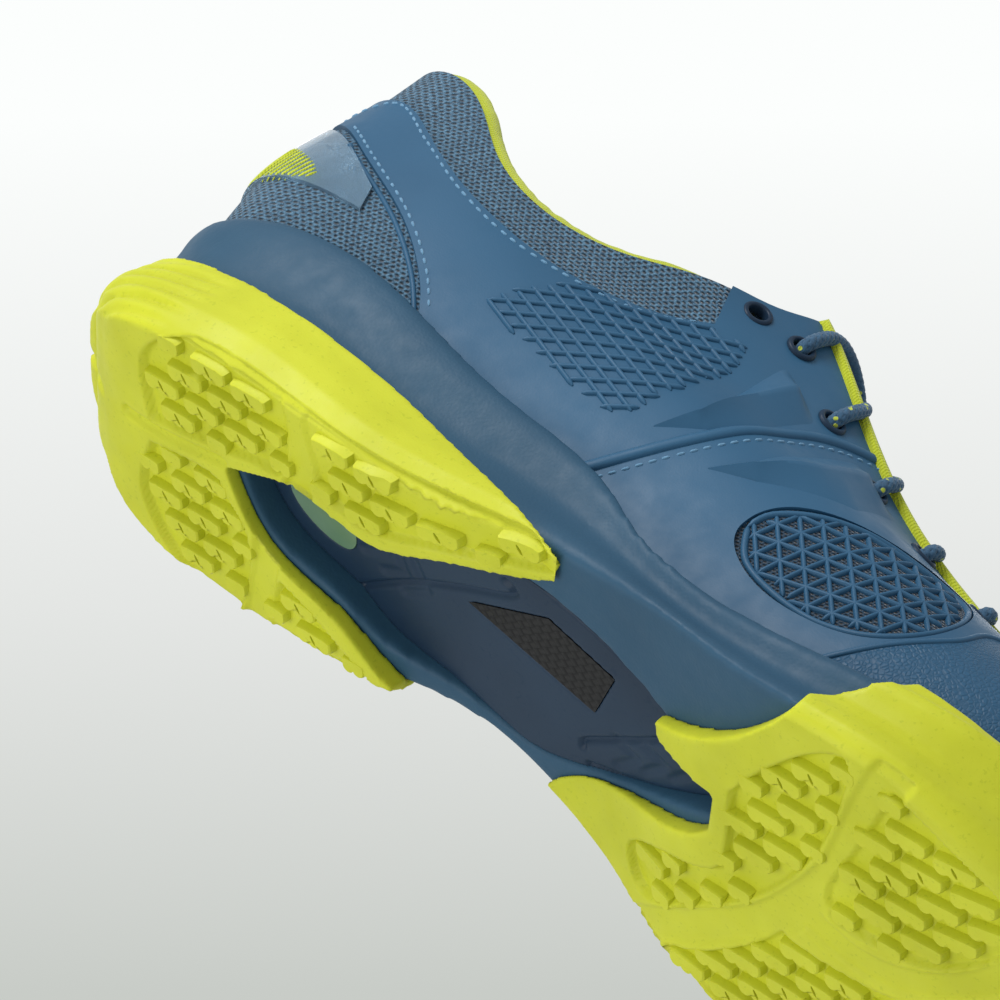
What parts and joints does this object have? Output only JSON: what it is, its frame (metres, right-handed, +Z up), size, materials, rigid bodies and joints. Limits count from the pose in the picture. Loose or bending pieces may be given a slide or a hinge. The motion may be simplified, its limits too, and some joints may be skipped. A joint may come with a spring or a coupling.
{
  "type": "court shoe",
  "caption": "Low-cut right court shoe with two-piece gum outsole, cushioned midsole, arch shank, layered knit and film upper, padded tongue, laced throat and lift-out sockliner.",
  "frame": {"origin": "on the ground under the middle of the shoe's box", "axes": "+X towards the toe, +Y towards the inner (medial) side of a right foot, +Z up"},
  "size_m": [0.2953, 0.1074, 0.1161],
  "materials": {
    "lime_rubber": "satin, slightly worn edges",
    "blue_foam": "matt moulded foam",
    "navy_plastic": "smooth satin",
    "carbon_weave": "fine twill weave",
    "green_gel": "translucent gel",
    "board_fabric": "non-woven",
    "sock_foam": "open-cell foam",
    "sock_fabric": "fine knit",
    "counter_plastic": "matt",
    "backing_fabric": "brushed knit",
    "lime_fabric": "fine knit",
    "blue_knit": "open knit",
    "blue_film": "soft film over fabric",
    "grained_blue": "pebbled grain",
    "gloss_blue": "gloss over brushed pattern",
    "lace_braid": "braided with lime flecks",
    "clear_tip": "gloss"
  },
  "bodies": {
    "shoe": {"heel_outsole": "lime_rubber", "forefoot_outsole": "lime_rubber", "midsole": "blue_foam", "shank_plate": "navy_plastic", "carbon_insert": "carbon_weave", "heel_gel_cushion": "green_gel", "strobel_board": "board_fabric", "heel_counter": "counter_plastic", "ankle_backing": "backing_fabric", "collar_foam": "sock_foam", "collar_lining": "lime_fabric", "toe_puff": "counter_plastic", "vamp_lining": "backing_fabric", "collar_knit": "blue_knit", "heel_knit": "blue_knit", "vamp_mesh": "blue_knit", "quarter_overlay_lateral": "blue_film", "quarter_overlay_medial": "blue_film", "vamp_overlay_lateral": "blue_film", "vamp_overlay_medial": "blue_film", "toe_guard": "grained_blue", "heel_patch": "gloss_blue", "lace": "lace_braid", "lace_aglets": "clear_tip"},
    "tongue": {"tongue_pad": "blue_knit", "tongue_binding": "lime_fabric"},
    "sockliner": {"sockliner_foam": "sock_foam", "sockliner_cover": "sock_fabric"}
  },
  "joints": [
    {"name": "tongue_fold", "type": "hinge", "parent": "shoe", "child": "tongue", "pos_m": [0.0805, 0.0018, 0.0585], "axis": [0, -1, 0], "range_deg": [0, 10], "stiffness_Nm_per_rad": 0.5},
    {"name": "sockliner_lift", "type": "hinge", "parent": "shoe", "child": "sockliner", "pos_m": [0.1293, 0.0045, 0.0262], "axis": [0, 1, 0], "range_deg": [0, 5]}
  ]
}
